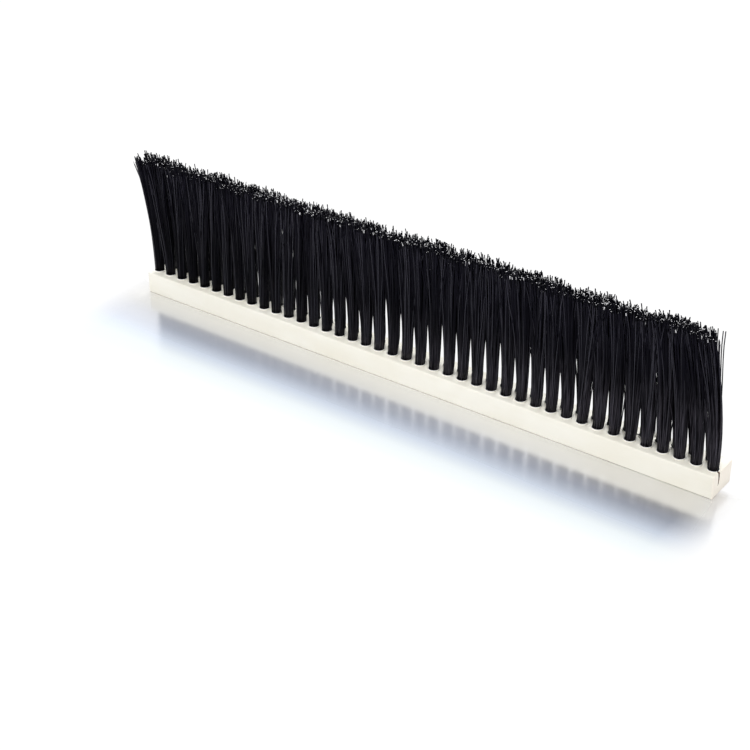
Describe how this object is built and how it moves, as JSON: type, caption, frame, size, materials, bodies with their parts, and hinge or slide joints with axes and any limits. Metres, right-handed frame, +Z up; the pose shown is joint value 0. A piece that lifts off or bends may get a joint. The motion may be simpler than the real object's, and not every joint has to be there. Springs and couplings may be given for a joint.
{
  "type": "brush seal strip",
  "caption": "Straight brush strip: a rectangular ivory plastic bar with staggered rows of stiff black nylon tufts standing up from its top face, for sealing a gap.",
  "frame": {"origin": "middle of the bar's flat underside", "axes": "+X along the strip towards its right end, +Y from the front row of tufts to the back row, +Z up along the bristles"},
  "size_m": [0.3092, 0.016, 0.0671],
  "materials": {
    "base_plastic": "ivory moulded plastic with a soft sheen, sawn square at the ends",
    "bristle": "black nylon filament with a satin sheen"
  },
  "bodies": {
    "root": {"base_strip": "base_plastic", "front_tuft_row": "bristle", "back_tuft_row": "bristle"}
  },
  "joints": []
}
